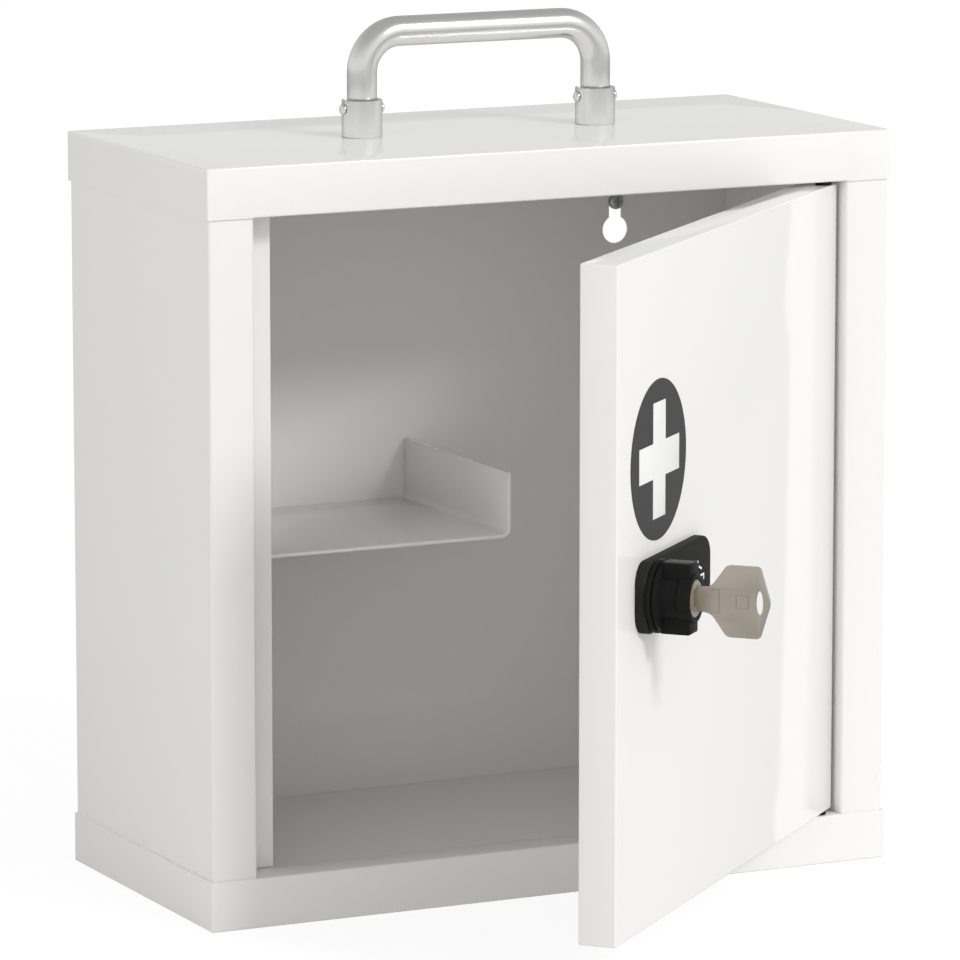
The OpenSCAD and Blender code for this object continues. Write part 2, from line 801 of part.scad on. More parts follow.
// Key cylinder: face in the knob's mouth, shank inside the spindle, keyway for the key's blade
module key_cylinder() {
    way_t = key_t + 2 * keyway_gap;
    way_h = key_blade_h + 2 * keyway_gap;
    way_z0 = plug_z1 - key_blade_len - face_gap;
    color([0.75, 0.73, 0.70]) on_lock() difference() {
        union() {
            translate([0, 0, plug_z0]) cylinder(d = plug_d, h = plug_z1 - plug_z0);
            translate([0, 0, plug_tip]) cylinder(d = plug_shank_d, h = plug_z0 - plug_tip);
        }
        block([-way_t / 2, -way_h / 2, way_z0], [way_t / 2, way_h / 2, knob_reach + through]);
        for (i = [0 : wafer_count - 1]) translate([0, 0, wafer_z0 + i * wafer_pitch])
            cube([wafer_w, wafer_h, wafer_t] + 2 * wafer_gap * [1, 1, 1], center = true);
    }
}

// Wafers across the key cylinder, each with a window for the key's blade
module lock_wafers() {
    window_gap = 2 * keyway_gap;
    color("gold") on_lock() for (i = [0 : wafer_count - 1]) translate([0, 0, wafer_z0 + i * wafer_pitch])
        difference() {
            cube([wafer_w, wafer_h, wafer_t], center = true);
            cube([key_t + 2 * window_gap, key_blade_h + 2 * window_gap, 2 * wafer_t], center = true);
        }
}

// Outline of the key's shank and bow, along x from the shoulder
module key_outline() {
    shank = key_shank_h / 2;
    bow = key_bow_h / 2;
    tip = key_out_len - key_gap;
    neck_x = tip * 0.19;    // the shank ends
    bow_x = tip * 0.41;     // the bow has its full height
    far_x = tip * 0.86;     // and loses it again
    corner = 1;
    edge = [[0, shank], [neck_x, shank], [neck_x + 2 * corner, shank + corner], [bow_x, bow],
            [far_x, bow], [far_x + corner, bow - corner]];
    difference() {
        polygon([for (p = edge) [p[0], -p[1]], [tip, 0], for (i = [len(edge) - 1 : -1 : 0]) edge[i]]);
        translate([tip - 1.5 * key_hole_w, 0]) long_hole(key_hole_w, key_hole_len);
    }
}

module key() {
    shoulder = plug_z1 + key_gap;
    half_t = key_t / 2;
    half_h = key_blade_h / 2;
    color([0.62, 0.59, 0.54]) on_lock() {
        translate([half_t, 0, shoulder]) rotate([0, -90, 0]) linear_extrude(key_t) key_outline();
        block([-half_t, -half_h, plug_z1 - key_blade_len], [half_t, half_h, shoulder]);
    }
}

left_side_panel();
right_side_panel();
back_panel();
top_cap();
bottom_cap();
floor_panel();
shelf();
hinge_pin_top();
hinge_pin_bottom();
wall_screws();
handle_ferrule_left();
handle_ferrule_right();
handle_pin_left();
handle_pin_right();
handle_screws();
handle_washers();
handle_tube();
door_pan();
hinge_bush_top();
hinge_bush_bottom();
emblem_disc();
emblem_cross();
lock_plate();
lock_marks();
lock_ring();
lock_barrel();
lock_nut();
knob();
lock_spindle();
spacer_washer();
lock_cam();
cam_washer();
cam_screw();
key_cylinder();
lock_wafers();
key();
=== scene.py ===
"""Looks of the lockable medicine cabinet: painted folded sheet, a polished folding handle,
a wing-knob cylinder lock with its key, and a round emblem. Metres, in the frame of the CAD model."""
import json
import math
from contextlib import contextmanager

import bmesh
import bpy
from mathutils import Matrix, Vector


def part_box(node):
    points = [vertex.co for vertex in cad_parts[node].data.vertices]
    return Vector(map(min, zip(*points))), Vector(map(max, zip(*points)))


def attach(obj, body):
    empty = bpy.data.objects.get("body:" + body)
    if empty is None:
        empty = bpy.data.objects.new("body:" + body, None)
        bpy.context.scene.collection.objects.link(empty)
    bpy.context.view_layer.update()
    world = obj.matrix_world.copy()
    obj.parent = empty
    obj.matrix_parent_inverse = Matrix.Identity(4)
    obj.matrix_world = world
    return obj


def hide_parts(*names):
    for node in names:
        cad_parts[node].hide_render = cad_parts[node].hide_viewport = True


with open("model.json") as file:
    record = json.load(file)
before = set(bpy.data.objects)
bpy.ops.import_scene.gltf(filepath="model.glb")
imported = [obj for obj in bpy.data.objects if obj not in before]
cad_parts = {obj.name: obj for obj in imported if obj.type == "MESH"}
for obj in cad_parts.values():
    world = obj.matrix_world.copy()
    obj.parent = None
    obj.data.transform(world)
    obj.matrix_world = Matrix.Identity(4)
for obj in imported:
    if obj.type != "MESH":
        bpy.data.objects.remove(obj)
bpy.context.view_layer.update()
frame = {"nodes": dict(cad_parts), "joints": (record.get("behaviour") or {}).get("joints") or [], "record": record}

MM = 0.001
NEAR = 0.1 * MM                 # closer than this counts as being there
TURN = 2 * math.pi
ORIGIN = Vector((0, 0, 0))
X = Vector((1, 0, 0))
Y = Vector((0, 1, 0))
Z = Vector((0, 0, 1))

# sizes of the sheet metal
SHEET = 0.8 * MM
SHELF_SHEET = 1.5 * MM
CAP_FOLD = 0.8 * MM             # outer radius of the caps' folds
DOOR_FOLD = 0.7 * MM            # outer radius of the door's folds
SHELF_FOLD = 4 * MM             # outer radius of the shelf's folds
SCREW_NECK_R = 1.7 * MM         # neck of a wall screw
CUT_EDGE = 0.12 * MM            # rounding of a cut sheet edge under its paint
JAMB_W = 20 * MM                # width of the front uprights
SEAT = 0.1 * MM                 # play between two pieces of sheet

joints = {joint["name"]: joint for joint in frame["joints"]}
PIVOT = Vector(joints["door_hinge"]["pos_m"])
DOOR_ANGLE = -math.radians(joints["door_hinge"]["range_deg"][0])
LOCK_POINT = Vector(joints["knob_turn"]["pos_m"])
PIN_AXIS = Matrix.Translation(joints["handle_fold"]["pos_m"])

# These turn a piece's +Z to +X, -Y and +Y.
CROSSWISE = Matrix.Rotation(math.pi / 2, 4, "Y")
FORWARD = Matrix.Rotation(math.pi / 2, 4, "X")
REARWARD = Matrix.Rotation(-math.pi / 2, 4, "X")

# DOOR swings a piece drawn on the closed door to where the door stands.
# LOCK places a piece drawn at the origin, +Z outwards from the door's face and +Y up.
DOOR = Matrix.Translation(PIVOT) @ Matrix.Rotation(DOOR_ANGLE, 4, "Z") @ Matrix.Translation(-PIVOT)
LOCK = Matrix.Translation(LOCK_POINT) @ Matrix.Rotation(DOOR_ANGLE, 4, "Z") @ FORWARD


# ---------- places taken from the frame ----------

def box_in(name, place):
    """Lowest and highest corner of a CAD node, seen in the frame that place leads from."""
    back = place.inverted()
    points = [back @ vertex.co for vertex in frame["nodes"][name].data.vertices]
    low = Vector(min(p[i] for p in points) for i in range(3))
    high = Vector(max(p[i] for p in points) for i in range(3))
    return low, high


# ---------- modelling ----------

def only(piece):
    """Selects one piece and makes it active."""
    bpy.ops.object.select_all(action="DESELECT")
    piece.select_set(True)
    bpy.context.view_layer.objects.active = piece


def settle(piece, place=None):
    """Puts a piece's place into its mesh, after moving it by place."""
    only(piece)
    if place is not None:
        piece.matrix_world = place @ piece.matrix_world
        bpy.context.view_layer.update()
    bpy.ops.object.transform_apply(location=True, rotation=True, scale=True)
    return piece


def start(kind, name, **settings):
    """Adds a primitive under its own name, with its place in its mesh."""
    bpy.ops.object.select_all(action="DESELECT")
    getattr(bpy.ops.mesh, f"primitive_{kind}_add")(**settings)
    piece = bpy.context.object
    piece.name = name
    piece.data.name = name
    return settle(piece)


def block(name, low, high):
    """A block between two corners."""
    low, high = Vector(low), Vector(high)
    return start("cube", name, size=1, location=(low + high) / 2, scale=high - low)


@contextmanager
def editing(piece):
    """Edit mode on one piece, with nothing picked at first."""
    only(piece)
    bpy.ops.object.mode_set(mode="EDIT")
    bpy.ops.mesh.select_mode(type="VERT")
    bpy.ops.mesh.select_all(action="DESELECT")
    yield
    bpy.ops.object.mode_set(mode="OBJECT")


def pick(piece, kind, test):
    """Selects the VERT, EDGE or FACE elements that pass a test."""
    bpy.ops.mesh.select_mode(type=kind)
    bpy.ops.mesh.select_all(action="DESELECT")
    mesh = bmesh.from_edit_mesh(piece.data)
    elements = {"VERT": mesh.verts, "EDGE": mesh.edges, "FACE": mesh.faces}[kind]
    for element in elements:
        element.select_set(test(element))
    mesh.select_flush_mode()
    bmesh.update_edit_mesh(piece.data)


def middle(edge):
    """Middle of an edge."""
    return (edge.verts[0].co + edge.verts[1].co) / 2


def along(edge, axis):
    """Whether an edge runs along an axis."""
    return abs((edge.verts[1].co - edge.verts[0].co).normalized().dot(axis)) > 0.999


def facing(face, axis):
    """Whether a face looks along an axis."""
    return face.normal.dot(axis) > 0.9


def is_fold(edge):
    """Whether two faces meet at an edge at about a right angle."""
    return len(edge.link_faces) == 2 and edge.calc_face_angle() > math.radians(60)


def pull(step):
    """Extrudes what is picked by a step."""
    bpy.ops.mesh.extrude_region_move(TRANSFORM_OT_translate={"value": step})


def weld():
    """Merges the vertices that lie on each other, in edit mode."""
    bpy.ops.mesh.select_all(action="SELECT")
    bpy.ops.mesh.remove_doubles(threshold=0.001 * MM)


def face_out():
    """Turns all faces outwards, in edit mode."""
    bpy.ops.mesh.select_all(action="SELECT")
    bpy.ops.mesh.normals_make_consistent(inside=False)


def modify(piece, kind, **settings):
    """Adds a modifier and applies it."""
    modifier = piece.modifiers.new(kind.lower(), kind)
    for key, value in settings.items():
        setattr(modifier, key, value)
    only(piece)
    bpy.ops.object.modifier_apply(modifier=modifier.name)


def thicken(piece, thickness, offset=-1):
    """Gives a shell its wall, inwards unless offset says otherwise."""
    modify(piece, "SOLIDIFY", thickness=thickness, offset=offset, use_even_offset=True)


def soften(piece, width, segments, angle=40):
    """Rounds the edges that are sharper than an angle."""
    modify(piece, "BEVEL", width=width, segments=segments, limit_method="ANGLE",
           angle_limit=math.radians(angle), harden_normals=False)


def combine(piece, tool, operation):
    """Cuts a tool piece out of a piece, or adds it, and throws the tool away."""
    modify(piece, "BOOLEAN", operation=operation, object=tool, solver="EXACT")
    bpy.data.objects.remove(tool)


def copied(piece, name):
    """A copy of a piece with its own mesh."""
    twin = piece.copy()
    twin.data = piece.data.copy()
    twin.name = name
    twin.data.name = name
    bpy.context.scene.collection.objects.link(twin)
    return twin


def joined(piece, *others):
    """Joins other pieces to a piece."""
    only(piece)
    for other in others:
        other.select_set(True)
    bpy.ops.object.join()
    return piece


def drawn(name, points):
    """A chain of edges pulled out through points."""
    points = [Vector(point) for point in points]
    piece = start("plane", name, size=0.1 * MM, location=points[0])
    with editing(piece):
        bpy.ops.mesh.select_all(action="SELECT")
        bpy.ops.mesh.merge(type="CENTER")
        for a, b in zip(points, points[1:]):
            pull(b - a)
    return piece


def turned(name, profile, steps, ring=False):
    """A solid turned about Z from (radius, height) points, or a ring from a closed outline."""
    points = [(r, 0, z) for r, z in profile]
    piece = drawn(name, points + points[:1] if ring else points)
    with editing(piece):
        bpy.ops.mesh.select_all(action="SELECT")
        bpy.ops.mesh.spin(steps=steps, angle=TURN, center=ORIGIN, axis=Z)
        weld()
        face_out()
    return piece


def rod(name, radius, low, high, steps=48):
    """A plain cylinder along Z, as a cutting tool or a blank."""
    return start("cylinder", name, radius=radius, depth=high - low, vertices=steps,
                 location=(0, 0, (low + high) / 2))


def flat_piece(name, outline, thickness):
    """A plate along Z from an outline of (x, y) points in order."""
    points = [(x, y, 0) for x, y in outline]
    piece = drawn(name, points + points[:1])
    with editing(piece):
        weld()
        bpy.ops.mesh.edge_face_add()
        pull((0, 0, thickness))
        face_out()
    return piece


def round_corner(piece, place, offset):
    """Rounds a plate's corners at a place and its mirror image across y = 0."""
    with editing(piece):
        pick(piece, "EDGE", lambda edge: along(edge, Z) and abs(middle(edge).x - place[0]) < NEAR
             and abs(abs(middle(edge).y) - place[1]) < NEAR)
        bpy.ops.mesh.bevel(offset=offset, segments=6, affect="EDGES")


def arc(middle_point, radius, first, last, steps):
    """Points on an arc between two angles in degrees."""
    x, y = middle_point
    turns = [math.radians(first + (last - first) * i / steps) for i in range(steps + 1)]
    return [(x + radius * math.cos(t), y + radius * math.sin(t)) for t in turns]


# ---------- node trees ----------

def node(tree, kind, **values):
    """Adds a shader node and sets the inputs and properties that values name."""
    made = tree.nodes.new(kind)
    for key, value in values.items():
        if key in made.inputs:
            made.inputs[key].default_value = value
        else:
            setattr(made, key, value)
    return made


def new_group(name, inputs, outputs):
    """An empty node group with named inputs (with their first values) and outputs."""
    tree = bpy.data.node_groups.new(name, "ShaderNodeTree")
    for label, (kind, value) in inputs.items():
        socket = tree.interface.new_socket(label, in_out="INPUT", socket_type=f"NodeSocket{kind}")
        socket.default_value = value
    for label, kind in outputs.items():
        tree.interface.new_socket(label, in_out="OUTPUT", socket_type=f"NodeSocket{kind}")
    return tree, tree.nodes.new("NodeGroupInput"), tree.nodes.new("NodeGroupOutput")


def make_drift_group():
    """Slow drift of a finish: its colour and roughness wander a little over the surface."""
    tree, given, out = new_group(
        "finish_drift",
        {"Color": ("Color", (0.8, 0.8, 0.8, 1)), "Drift": ("Float", 0.02), "Scale": ("Float", 20.0),
         "Roughness": ("Float", 0.4), "Roughness Drift": ("Float", 0.04)},
        {"Color": "Color", "Roughness": "Float"})
    link = tree.links.new
    coordinates = node(tree, "ShaderNodeTexCoord")
    noise = node(tree, "ShaderNodeTexNoise", Detail=3.0, Roughness=0.55)
    link(coordinates.outputs["Object"], noise.inputs["Vector"])
    link(given.outputs["Scale"], noise.inputs["Scale"])
    centred = node(tree, "ShaderNodeMath", operation="SUBTRACT")
    centred.inputs[1].default_value = 0.5
    link(noise.outputs["Fac"], centred.inputs[0])
    shade = node(tree, "ShaderNodeMath", operation="MULTIPLY_ADD")
    link(centred.outputs[0], shade.inputs[0])
    link(given.outputs["Drift"], shade.inputs[1])
    shade.inputs[2].default_value = 1.0
    tinted = node(tree, "ShaderNodeVectorMath", operation="SCALE")
    link(given.outputs["Color"], tinted.inputs[0])
    link(shade.outputs[0], tinted.inputs["Scale"])
    link(tinted.outputs[0], out.inputs["Color"])
    rough = node(tree, "ShaderNodeMath", operation="MULTIPLY_ADD")
    link(centred.outputs[0], rough.inputs[0])
    link(given.outputs["Roughness Drift"], rough.inputs[1])
    link(given.outputs["Roughness"], rough.inputs[2])
    link(rough.outputs[0], out.inputs["Roughness"])
    return tree


def make_relief_group():
    """Fine relief: a noise whose grains can be drawn out along an axis, as a height."""
    tree, given, out = new_group(
        "fine_relief",
        {"Scale": ("Float", 800.0), "Stretch": ("Vector", (1.0, 1.0, 1.0)), "Fineness": ("Float", 2.0)},
        {"Height": "Float"})
    link = tree.links.new
    coordinates = node(tree, "ShaderNodeTexCoord")
    stretched = node(tree, "ShaderNodeVectorMath", operation="MULTIPLY")
    link(coordinates.outputs["Object"], stretched.inputs[0])
    link(given.outputs["Stretch"], stretched.inputs[1])
    noise = node(tree, "ShaderNodeTexNoise", Roughness=0.5)
    link(stretched.outputs[0], noise.inputs["Vector"])
    link(given.outputs["Scale"], noise.inputs["Scale"])
    link(given.outputs["Fineness"], noise.inputs["Detail"])
    link(noise.outputs["Fac"], out.inputs["Height"])
    return tree


DRIFT = make_drift_group()
RELIEF = make_relief_group()


def make_finish(name, color, roughness, drift, grain, grain_depth, drift_scale=20.0,
                roughness_drift=0.04, stretch=(1, 1, 1), fineness=2.0, **shader):
    """A material from the shared effects: a wandering colour and roughness, and a fine relief.
    grain is how fine the relief is and grain_depth its height in mm; shader names more inputs."""
    material = bpy.data.materials.new(name)
    material.use_nodes = True
    tree = material.node_tree
    link = tree.links.new
    surface = tree.nodes["Principled BSDF"]
    for label, value in shader.items():
        surface.inputs[label.replace("_", " ")].default_value = value
    drifting = node(tree, "ShaderNodeGroup", node_tree=DRIFT)
    drifting.inputs["Color"].default_value = (*color, 1)
    drifting.inputs["Drift"].default_value = drift
    drifting.inputs["Scale"].default_value = drift_scale
    drifting.inputs["Roughness"].default_value = roughness
    drifting.inputs["Roughness Drift"].default_value = roughness_drift
    link(drifting.outputs["Color"], surface.inputs["Base Color"])
    link(drifting.outputs["Roughness"], surface.inputs["Roughness"])
    relief = node(tree, "ShaderNodeGroup", node_tree=RELIEF)
    relief.inputs["Scale"].default_value = grain
    relief.inputs["Stretch"].default_value = stretch
    relief.inputs["Fineness"].default_value = fineness
    bump = node(tree, "ShaderNodeBump", Strength=1.0)
    bump.inputs["Distance"].default_value = grain_depth * MM
    link(relief.outputs["Height"], bump.inputs["Height"])
    link(bump.outputs["Normal"], surface.inputs["Normal"])
    return material


def white_paint():
    """Semi-gloss powder coat: a faint orange peel under a smooth skin."""
    return make_finish("white_powder_coat", (0.885, 0.878, 0.860), roughness=0.07, drift=0.006,
                       drift_scale=9.0, roughness_drift=0.03, grain=260.0, grain_depth=0.002,
                       fineness=1.0, Specular_IOR_Level=0.5)


def polished_steel():
    """Handle and ferrules: steel polished to a soft shine."""
    return make_finish("polished_steel", (0.88, 0.88, 0.87), roughness=0.24,
                       Specular_Tint=(0.6, 0.6, 0.6, 1), drift=0.03, drift_scale=60.0,
                       roughness_drift=0.06, grain=900.0, grain_depth=0.0006, fineness=3.0, Metallic=1.0)


def zinc_steel():
    """Fasteners and lock parts: zinc plate with its cloudy grain."""
    return make_finish("zinc_steel", (0.50, 0.51, 0.53), roughness=0.34, drift=0.35, drift_scale=260.0,
                       roughness_drift=0.15, grain=1500.0, grain_depth=0.004, Metallic=1.0)


def black_plastic(name, shade, roughness, gloss):
    """Moulded plastic, a little warmer than plain black."""
    return make_finish(name, (shade, shade, 0.98 * shade), roughness=roughness, drift=0.10,
                       drift_scale=70.0, roughness_drift=0.06, grain=3000.0, grain_depth=0.006,
                       fineness=3.0, Specular_IOR_Level=gloss)


def emblem_grey():
    """Dark film of the emblem's disc."""
    return make_finish("emblem_grey", (0.056, 0.056, 0.056), roughness=0.36, drift=0.06, drift_scale=90.0,
                       roughness_drift=0.05, grain=2600.0, grain_depth=0.004, fineness=3.0,
                       Specular_IOR_Level=0.07)


def emblem_white():
    """White film of the emblem's cross."""
    return make_finish("emblem_white", (0.88, 0.88, 0.875), roughness=0.36, drift=0.01, grain=2600.0,
                       grain_depth=0.004)


def white_print():
    """Ink of the marks on the lock's plate."""
    return make_finish("white_print", (0.85, 0.85, 0.85), roughness=0.55, drift=0.05, drift_scale=900.0,
                       grain=4000.0, grain_depth=0.01)


def nickel_silver():
    """Key and key cylinder: a warm grey metal with a fine drawn grain."""
    return make_finish("nickel_silver", (0.63, 0.57, 0.487), roughness=0.48, drift=0.05, drift_scale=120.0,
                       roughness_drift=0.10, grain=1400.0, stretch=(1, 1, 0.05), grain_depth=0.003,
                       fineness=3.0, Metallic=1.0)


def brass():
    """Wafers in the key cylinder."""
    return make_finish("brass", (0.72, 0.52, 0.22), roughness=0.3, drift=0.08, drift_scale=200.0,
                       grain=1500.0, grain_depth=0.003, Metallic=1.0)


FINISHES = {
    "white_paint": white_paint(),
    "polished_steel": polished_steel(),
    "zinc_steel": zinc_steel(),
    "black_plastic": black_plastic("black_plastic", shade=0.014, roughness=0.26, gloss=0.03),
    "emblem_grey": emblem_grey(),
    "emblem_white": emblem_white(),
    "white_print": white_print(),
    "nickel_silver": nickel_silver(),
    "brass": brass(),
}
MATT_BLACK = black_plastic("matt_black_plastic", shade=0.027, roughness=0.40, gloss=0.010)
SLOTS = {part["node"]: part["material_slot"] for part in frame["record"]["subparts"]}


def dress_cad():
    """Gives every CAD node the finish of its slot."""
    for name, piece in frame["nodes"].items():
        for slot in piece.material_slots:
            slot.material = FINISHES[SLOTS[name]]


def hand_over(piece, *nodes, smooth=35, finish=None):
    """Gives a piece its shading, its finish and the body of the nodes that it stands for."""
    only(piece)
    bpy.ops.object.shade_smooth_by_angle(angle=math.radians(smooth))
    slot = SLOTS[nodes[0]]
    piece.data.materials.clear()
    piece.data.materials.append(finish or FINISHES[slot])
    bodies = frame["record"]["behaviour"]["bodies"]
    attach(piece, next(body for body, members in bodies.items() if nodes[0] in members))
    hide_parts(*nodes)
    return piece


# ---------- cabinet ----------

def make_caps():
    """Caps: a folded tray whose front is turned back as the sill and hemmed down."""
    low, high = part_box("bottom_cap")
    sill_x = high.x - JAMB_W - SEAT
    sill_y = box_in("door_pan", DOOR)[1].y + 2 * SEAT
    hem_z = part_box("floor_panel")[1].z - SHEET
    bottom = block("bottom_cap_shell", low, high)
    with editing(bottom):
        pick(bottom, "FACE", lambda face: facing(face, Z))
        bpy.ops.mesh.delete(type="ONLY_FACE")
        for x in (-sill_x, sill_x):
            bpy.ops.mesh.select_all(action="SELECT")
            bpy.ops.mesh.bisect(plane_co=(x, 0, 0), plane_no=X)
        pick(bottom, "EDGE", lambda edge: along(edge, X) and abs(middle(edge).x) < 1 * MM
             and middle(edge).y < low.y + MM and middle(edge).z > high.z - MM)
        pull((0, sill_y - low.y, 0))
        pull((0, 0, hem_z - high.z))
        pick(bottom, "EDGE", is_fold)
        bpy.ops.mesh.bevel(offset=CAP_FOLD, segments=4, affect="EDGES")
    thicken(bottom, SHEET)
    soften(bottom, CUT_EDGE, segments=1, angle=60)
    top = copied(bottom, "top_cap_shell")
    top_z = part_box("top_cap")[1].z
    top.matrix_world = Matrix.Translation((0, 0, top_z)) @ Matrix.Scale(-1, 4, Z)
    bpy.context.view_layer.update()
    settle(top)
    with editing(top):
        face_out()
    hand_over(bottom, "bottom_cap")
    hand_over(top, "top_cap")


def make_back_panel():
    """Back panel: flat sheet between the side panels, with two keyholes."""
    low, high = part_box("back_panel")
    side_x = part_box("bottom_cap")[1].x - 2 * SHEET
    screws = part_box("wall_screws")
    hole_r, slot_half, rise = 5.75 * MM, 2.8 * MM, 11 * MM
    gap = 0.3 * MM                  # between a screw's neck and the slot's upper end
    hole_z = (screws[0].z + screws[1].z) / 2 + SCREW_NECK_R + gap - slot_half - rise
    head_r = (screws[1].z - screws[0].z) / 2
    piece = block("back_sheet", (-side_x, low.y, low.z), (side_x, high.y, high.z))
    meeting = math.degrees(math.acos(slot_half / hole_r))
    outline = (arc((0, rise), slot_half, 0, 180, 16)
               + arc((0, 0), hole_r, 180 - meeting, 360 + meeting, 40))
    for x in (screws[0].x + head_r, screws[1].x - head_r):
        tool = flat_piece("keyhole", outline, 4 * SHEET)
        settle(tool, Matrix.Translation((x, high.y + SHEET, hole_z)) @ FORWARD)
        combine(piece, tool, "DIFFERENCE")
    soften(piece, CUT_EDGE, segments=1, angle=60)
    hand_over(piece, "back_panel")


def make_side_panels():
    """Side panels: rear flange, side, front upright and its return, folded from one sheet."""
    low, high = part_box("right_side_panel")
    half, fold_r = SHEET / 2, 1 * MM
    cap_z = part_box("bottom_cap")[1].z + SEAT
    top_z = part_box("top_cap")[0].z - SEAT
    flange_w, front_w = 12 * MM, JAMB_W - SHEET
    jamb_x = high.x - front_w + half
    return_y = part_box("floor_panel")[0].y - SEAT - half
    notch_y = return_y + half - SHEET - 2 * fold_r
    stop_x = -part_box("left_side_panel")[1].x
    for side, name, end_x in ((1, "right_side_panel", jamb_x + JAMB_W / 3),
                              (-1, "left_side_panel", stop_x)):
        path = [(high.x - flange_w, high.y - half), (high.x - half, high.y - half),
                (high.x - half, low.y + half), (jamb_x, low.y + half), (jamb_x, notch_y),
                (jamb_x, return_y), (end_x, return_y)]
        piece = drawn(name.replace("panel", "sheet"), [(side * x, y, low.z) for x, y in path])
        with editing(piece):
            bpy.ops.mesh.select_all(action="SELECT")
            for a, b in ((low.z, cap_z), (cap_z, top_z), (top_z, high.z)):
                pull((0, 0, b - a))
            pick(piece, "FACE", lambda face: not cap_z < face.calc_center_median().z < top_z
                 and face.calc_center_median().y > notch_y
                 and abs(face.calc_center_median().x) < jamb_x + JAMB_W / 2)
            bpy.ops.mesh.delete(type="FACE")
            pick(piece, "EDGE", lambda edge: along(edge, Z) and is_fold(edge))
            bpy.ops.mesh.bevel(offset=fold_r, segments=5, affect="EDGES")
            face_out()
        thicken(piece, SHEET, offset=0)
        soften(piece, CUT_EDGE, segments=1, angle=60)
        hand_over(piece, name)


def make_shelf():
    """Shelf: thick sheet with both ends turned up on a wide bend."""
    low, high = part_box("shelf")
    half = SHELF_SHEET / 2
    corner_r = 1.2 * MM             # rounding of the free flange's upper corners
    floor_z = low.z + half
    left, right = low.x + half, high.x - half
    centre = (low + high) / 2
    piece = start("plane", "shelf_sheet", size=1, location=(centre.x, centre.y, floor_z))
    with editing(piece):
        bpy.ops.mesh.select_all(action="SELECT")
        bpy.ops.transform.resize(value=(right - left, high.y - low.y, 1))
        for x in (left, right):
            pick(piece, "EDGE", lambda edge: along(edge, Y) and abs(middle(edge).x - x) < NEAR
                 and middle(edge).z < floor_z + NEAR)
            pull((0, 0, high.z - floor_z))
        pick(piece, "EDGE", is_fold)
        bpy.ops.mesh.bevel(offset=SHELF_FOLD - half, segments=8, affect="EDGES")
        pick(piece, "VERT", lambda vertex: vertex.co.z > high.z - NEAR and vertex.co.x > left + MM)
        bpy.ops.mesh.bevel(offset=corner_r, segments=4, affect="VERTICES")
        face_out()
    thicken(piece, SHELF_SHEET, offset=0)
    soften(piece, 0.35 * MM, segments=3, angle=50)
    hand_over(piece, "shelf")


def turned_screw(name, head_r, head_h, neck_r, neck_len, thread_r, thread_len, point_len, pitch):
    """A pan-head screw along +Z whose head ends at z = 0: domed head, neck, thread and point."""
    root_r = thread_r - 0.44 * pitch        # between the ridges of the thread
    profile = [(0, -head_h)]
    profile += [(head_r * math.sin(t), -head_h + head_h * 0.62 * (1 - math.cos(t)))
                for t in (math.radians(a) for a in (20, 40, 58, 74, 90))]
    profile += [(head_r, 0), (neck_r, 0)]
    if neck_len > 0:
        profile += [(neck_r, neck_len)]
    ridges = max(1, int(thread_len / pitch))
    for i in range(ridges):
        z = neck_len + i * pitch
        profile += [(root_r, z + 0.1 * pitch), (thread_r, z + 0.5 * pitch), (root_r, z + 0.9 * pitch)]
    end = neck_len + thread_len
    profile += [(root_r, end)]
    if point_len > 0:
        profile += [(0.3 * MM, end + point_len)]
    profile += [(0, end + point_len)]
    piece = turned(name, profile, steps=32)
    cut_w, cut_len, cut_depth = 0.24 * head_r, 1.15 * head_r, 0.55 * head_h
    for size in ((cut_w, cut_len), (cut_len, cut_w)):
        tool = block("recess", (-size[0] / 2, -size[1] / 2, -head_h - MM),
                     (size[0] / 2, size[1] / 2, -head_h + cut_depth))
        combine(piece, tool, "DIFFERENCE")
    return piece


def make_wall_screws():
    """Wall screws hung in the keyholes' slots."""
    low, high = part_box("wall_screws")
    head_r = (high.z - low.z) / 2
    panel_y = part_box("back_panel")[0].y
    wall_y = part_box("bottom_cap")[1].y
    screw_z = (low.z + high.z) / 2
    head_h, thread_r, point_len, pitch = 2.6 * MM, 2 * MM, 3 * MM, 1.4 * MM
    left = turned_screw("wall_screw_pair", head_r, head_h, SCREW_NECK_R, wall_y - panel_y, thread_r,
                        high.y - point_len - wall_y, point_len, pitch)
    right = copied(left, "wall_screw_right")
    for piece, x in ((left, low.x + head_r), (right, high.x - head_r)):
        settle(piece, Matrix.Translation((x, panel_y, screw_z)) @ REARWARD)
    hand_over(joined(left, right), "wall_screws")


# ---------- handle ----------

def make_handle_tube():
    """Handle: a bent tube, drawn out and spun round its two bends."""
    low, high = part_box("handle_tube")
    radius = (high.y - low.y) / 2
    leg_x = high.x - radius
    bar_z = high.z - radius
    bend_r, wall, pin_hole_r = 16 * MM, 1 * MM, 1.55 * MM
    quarter = math.pi / 2
    piece = start("circle", "handle_bow", vertices=48, radius=radius, location=(-leg_x, 0, low.z))
    with editing(piece):
        bpy.ops.mesh.select_all(action="SELECT")
        pull((0, 0, bar_z - bend_r - low.z))
        bpy.ops.mesh.spin(steps=14, angle=-quarter, center=(bend_r - leg_x, 0, bar_z - bend_r), axis=Y)
        pull((2 * (leg_x - bend_r), 0, 0))
        bpy.ops.mesh.spin(steps=14, angle=-quarter, center=(leg_x - bend_r, 0, bar_z - bend_r), axis=Y)
        pull((0, 0, low.z - bar_z + bend_r))
        weld()
        face_out()
    thicken(piece, wall)
    pin_hole = rod("pin_hole", pin_hole_r, -2 * leg_x, 2 * leg_x)
    combine(piece, settle(pin_hole, PIN_AXIS @ CROSSWISE), "DIFFERENCE")
    soften(piece, 0.1 * MM, segments=2, angle=50)
    hand_over(piece, "handle_tube")


